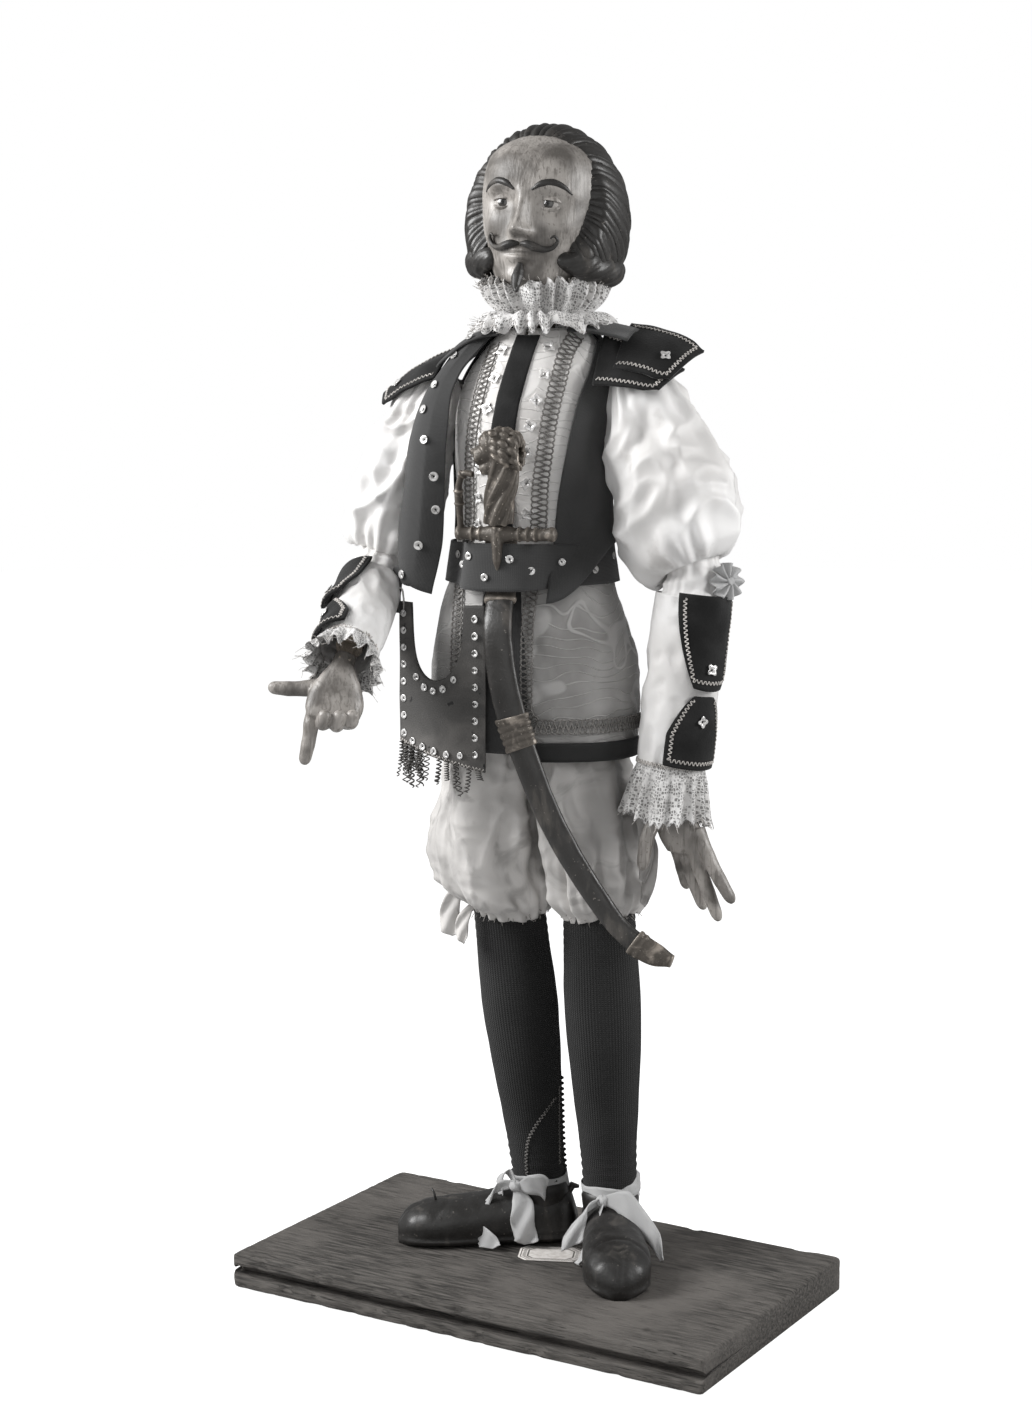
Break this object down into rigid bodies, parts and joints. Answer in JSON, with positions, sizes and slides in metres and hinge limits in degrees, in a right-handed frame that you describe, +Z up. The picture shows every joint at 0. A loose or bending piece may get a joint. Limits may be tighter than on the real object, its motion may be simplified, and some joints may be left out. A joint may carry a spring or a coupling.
{
  "type": "marionette",
  "caption": "Carved wooden cavalier marionette in cloth dress with sabre and hip panel, jointed at head and arms, standing on a grooved plank.",
  "frame": {"origin": "middle of the plank's lower face", "axes": "+Z up, X along the plank's long sides, -Y towards the plank's grooved front edge, which the figure faces, turned 14 degrees"},
  "size_m": [0.33, 0.2347, 0.715],
  "materials": {
    "base_wood": "weathered, worn bare",
    "carved_wood": "plain carved limewood",
    "painted_flesh": "worn flesh paint over carved wood",
    "painted_shoe": "worn dark paint over carved wood",
    "black_knit": "fine black knitting",
    "white_satin": "satin",
    "brocade": "silk brocade",
    "pale_silk": "thin creased silk",
    "dark_cloth": "matte wool cloth",
    "black_velvet": "velvet",
    "lace": "gathered cotton net",
    "studded_leather": "matte dark leather",
    "aged_bronze": "bronze paint over carved wood",
    "scabbard_paint": "worn dark paint",
    "steel": "plain wire and screws",
    "paper": "gummed paper"
  },
  "bodies": {
    "figure": {"base_plank": "base_wood", "belt": "dark_cloth", "doublet": "brocade", "lace_collar": "lace", "left_breech_leg": "pale_silk", "left_epaulette": "black_velvet", "left_knee_pin": "steel", "left_shin": "carved_wood", "left_shoe": "painted_shoe", "left_shoe_ribbon": "white_satin", "left_sole_screw": "steel", "left_stocking": "black_knit", "left_thigh": "carved_wood", "paper_label": "paper", "pelvis_block": "carved_wood", "placket": "black_velvet", "right_breech_leg": "pale_silk", "right_epaulette": "black_velvet", "right_garter_bow": "pale_silk", "right_knee_pin": "steel", "right_shin": "carved_wood", "right_shoe": "painted_shoe", "right_shoe_ribbon": "white_satin", "right_sole_screw": "steel", "right_stocking": "black_knit", "right_thigh": "carved_wood", "torso_block": "carved_wood", "vest": "dark_cloth", "waist_dowel": "carved_wood"},
    "head": {"head": "painted_flesh"},
    "neck": {"neck_peg": "carved_wood", "nod_pin": "steel"},
    "sabre": {"sabre_crossguard": "aged_bronze", "sabre_grip": "aged_bronze", "sabre_knuckle_bow": "aged_bronze", "scabbard": "scabbard_paint", "scabbard_band": "aged_bronze", "scabbard_chape": "aged_bronze"},
    "hip_panel": {"hip_panel": "studded_leather"},
    "right_shoulder": {"right_shoulder_link": "steel"},
    "right_upper_arm": {"right_upper_arm": "carved_wood", "right_elbow_pin": "steel", "right_puff_sleeve": "white_satin"},
    "right_forearm": {"right_forearm": "carved_wood", "right_lower_sleeve": "white_satin", "right_elbow_flap": "black_velvet", "right_wrist_flap": "black_velvet", "right_lace_cuff": "lace"},
    "right_hand": {"right_hand": "painted_flesh"},
    "left_shoulder": {"left_shoulder_link": "steel"},
    "left_upper_arm": {"left_upper_arm": "carved_wood", "left_elbow_pin": "steel", "left_puff_sleeve": "white_satin"},
    "left_forearm": {"left_forearm": "carved_wood", "left_lower_sleeve": "white_satin", "left_elbow_flap": "black_velvet", "left_wrist_flap": "black_velvet", "left_lace_cuff": "lace"},
    "left_hand": {"left_hand": "painted_flesh"}
  },
  "joints": [
    {"name": "head_turn", "type": "hinge", "parent": "figure", "child": "neck", "pos_m": [-0.00606, 0.01648, 0.593], "axis": [0, 0, 1], "range_deg": [-60, 60], "deforming": ["lace_collar"]},
    {"name": "head_nod", "type": "hinge", "parent": "neck", "child": "head", "pos_m": [-0.00606, 0.01648, 0.608], "axis": [0.9703, 0.2419, 0], "range_deg": [-12, 12], "deforming": ["lace_collar"]},
    {"name": "sabre_swing", "type": "hinge", "parent": "figure", "child": "sabre", "pos_m": [-0.00464, -0.03469, 0.453], "axis": [-0.2419, 0.9703, 0], "range_deg": [-6, 2]},
    {"name": "hip_panel_swing", "type": "hinge", "parent": "figure", "child": "hip_panel", "pos_m": [-0.04151, -0.03976, 0.431], "axis": [-0.9922, 0.1247, 0], "range_deg": [0, 25]},
    {"name": "right_shoulder_swing", "type": "hinge", "parent": "figure", "child": "right_shoulder", "pos_m": [-0.0701, 0.00052, 0.56], "axis": [0.9703, 0.2419, 0], "range_deg": [-30, 15], "deforming": ["right_puff_sleeve"]},
    {"name": "right_shoulder_raise", "type": "hinge", "parent": "right_shoulder", "child": "right_upper_arm", "pos_m": [-0.0701, 0.00052, 0.56], "axis": [-0.2419, 0.9703, 0], "range_deg": [0, 30], "deforming": ["right_puff_sleeve"]},
    {"name": "right_elbow_bend", "type": "hinge", "parent": "right_upper_arm", "child": "right_forearm", "pos_m": [-0.10279, -0.0158, 0.45201], "axis": [-0.8084, -0.4944, 0.3194], "range_deg": [-55, 40], "deforming": ["right_puff_sleeve", "right_lower_sleeve"]},
    {"name": "right_wrist_bend", "type": "hinge", "parent": "right_forearm", "child": "right_hand", "pos_m": [-0.06754, -0.10523, 0.40279], "axis": [0.8084, 0.4944, -0.3194], "range_deg": [-30, 30], "deforming": ["right_lace_cuff"]},
    {"name": "left_shoulder_swing", "type": "hinge", "parent": "figure", "child": "left_shoulder", "pos_m": [0.05216, 0.031, 0.56], "axis": [0.9703, 0.2419, 0], "range_deg": [-60, 30], "deforming": ["left_puff_sleeve"]},
    {"name": "left_shoulder_raise", "type": "hinge", "parent": "left_shoulder", "child": "left_upper_arm", "pos_m": [0.05216, 0.031, 0.56], "axis": [0.2419, -0.9703, 0], "range_deg": [0, 30], "deforming": ["left_puff_sleeve"]},
    {"name": "left_elbow_bend", "type": "hinge", "parent": "left_upper_arm", "child": "left_forearm", "pos_m": [0.09039, 0.03241, 0.45261], "axis": [-0.9666, -0.2351, 0.1019], "range_deg": [0, 75], "deforming": ["left_puff_sleeve", "left_lower_sleeve"]},
    {"name": "left_wrist_bend", "type": "hinge", "parent": "left_forearm", "child": "left_hand", "pos_m": [0.08029, 0.02312, 0.33541], "axis": [0.9666, 0.2351, -0.1019], "range_deg": [-30, 30], "deforming": ["left_lace_cuff"]}
  ]
}
